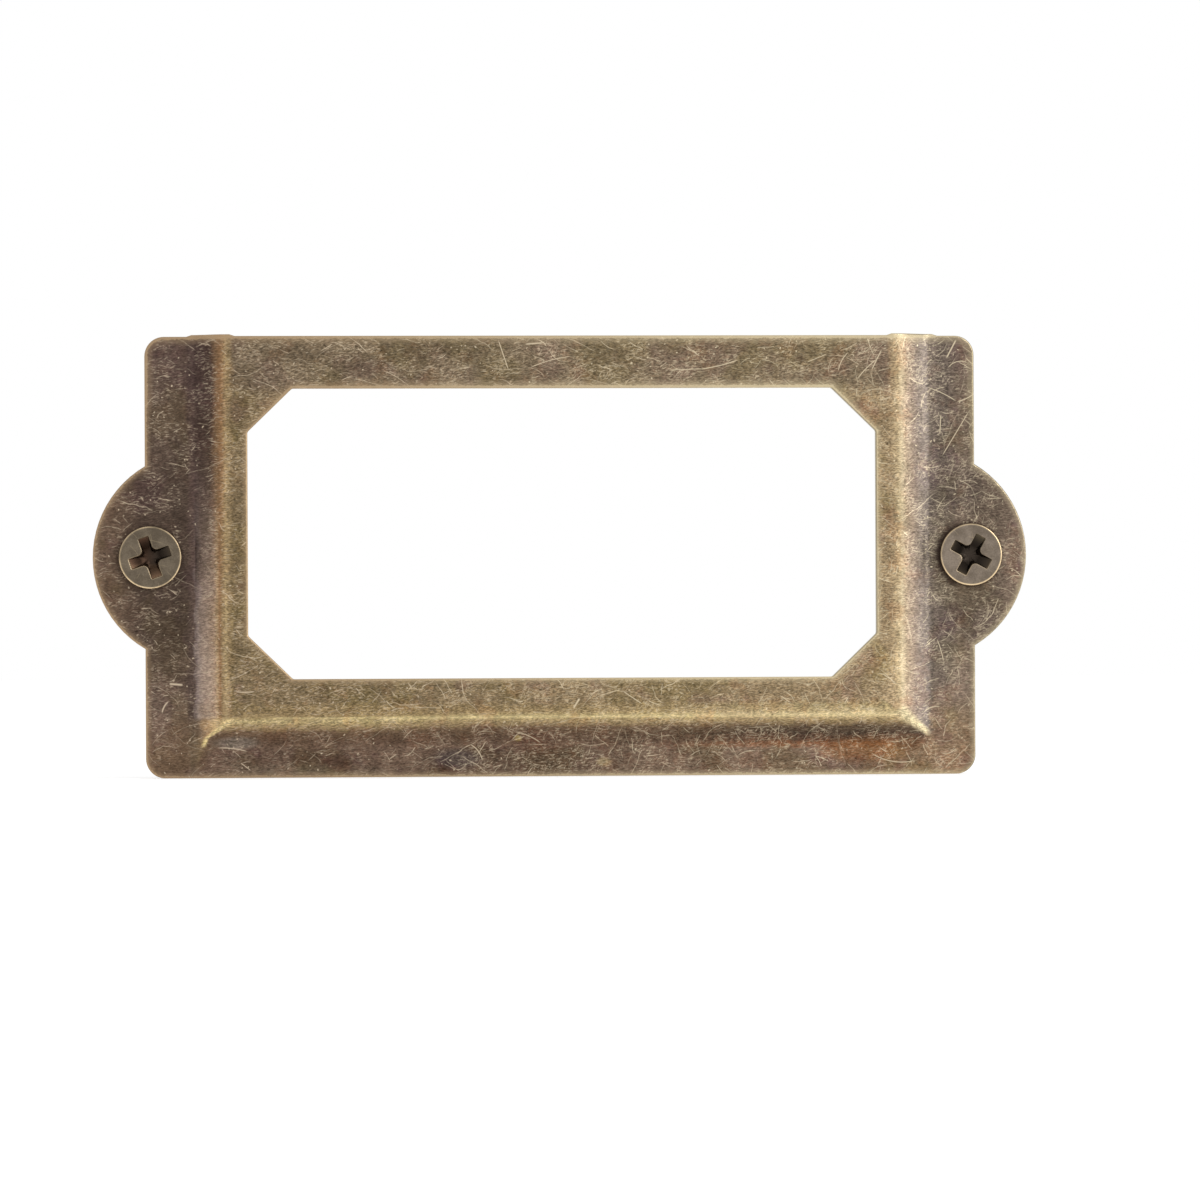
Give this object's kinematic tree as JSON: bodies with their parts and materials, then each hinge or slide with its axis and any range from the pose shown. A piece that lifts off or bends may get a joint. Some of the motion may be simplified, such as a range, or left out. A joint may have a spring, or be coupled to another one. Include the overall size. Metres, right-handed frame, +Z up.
{
  "type": "drawer label holder",
  "caption": "Pressed brass label frame with a raised, open-topped window panel and round ears, held on a drawer front by countersunk cross-recess screws.",
  "frame": {"origin": "midway between the two screw axes, on the plane of the flange's back face, which lies on the drawer front", "axes": "+X to the right along the label holder, +Z up towards the open top edge, +Y into the drawer, along the screws"},
  "size_m": [0.07, 0.0106, 0.0331],
  "materials": {
    "antique_brass": "antique brass, brown patina brushed back with fine random scratches, bright worn edges",
    "bronzed_screw": "smooth dark bronze with a bright worn rim"
  },
  "bodies": {
    "root": {"label_frame": "antique_brass", "screw_left": "bronzed_screw", "screw_right": "bronzed_screw"}
  },
  "joints": []
}
